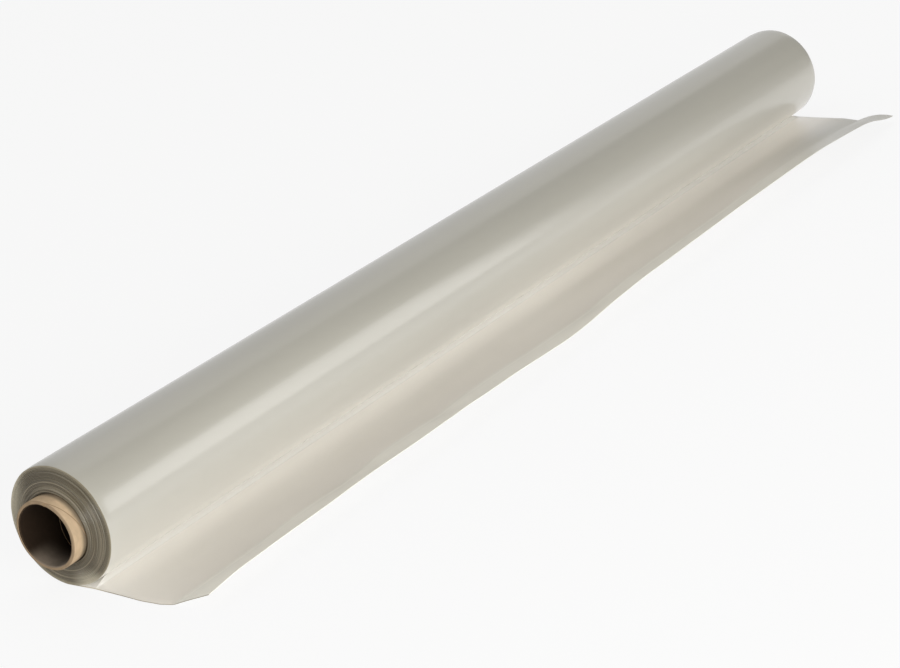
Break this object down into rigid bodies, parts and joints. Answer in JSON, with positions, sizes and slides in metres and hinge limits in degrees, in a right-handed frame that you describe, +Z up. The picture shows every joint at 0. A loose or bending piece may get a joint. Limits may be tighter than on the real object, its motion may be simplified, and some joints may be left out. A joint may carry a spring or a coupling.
{
  "type": "roll of plastic sheeting",
  "caption": "Long roll of milky plastic sheeting wound on a cardboard tube, lying down with its free end drawn out along one side.",
  "frame": {"origin": "centre of the flat spot under the roll, on the floor, half way along the roll", "axes": "+X along the roll's axis towards its far end, +Y away from the free end, +Z up from the floor"},
  "size_m": [1.236, 0.1896, 0.1006],
  "materials": {
    "cardboard_tube": "spirally wound kraft cardboard, matt",
    "plastic_film": "milky translucent polythene film, semi-gloss"
  },
  "bodies": {
    "root": {"core_tube": "cardboard_tube", "sheeting": "plastic_film"}
  },
  "joints": []
}
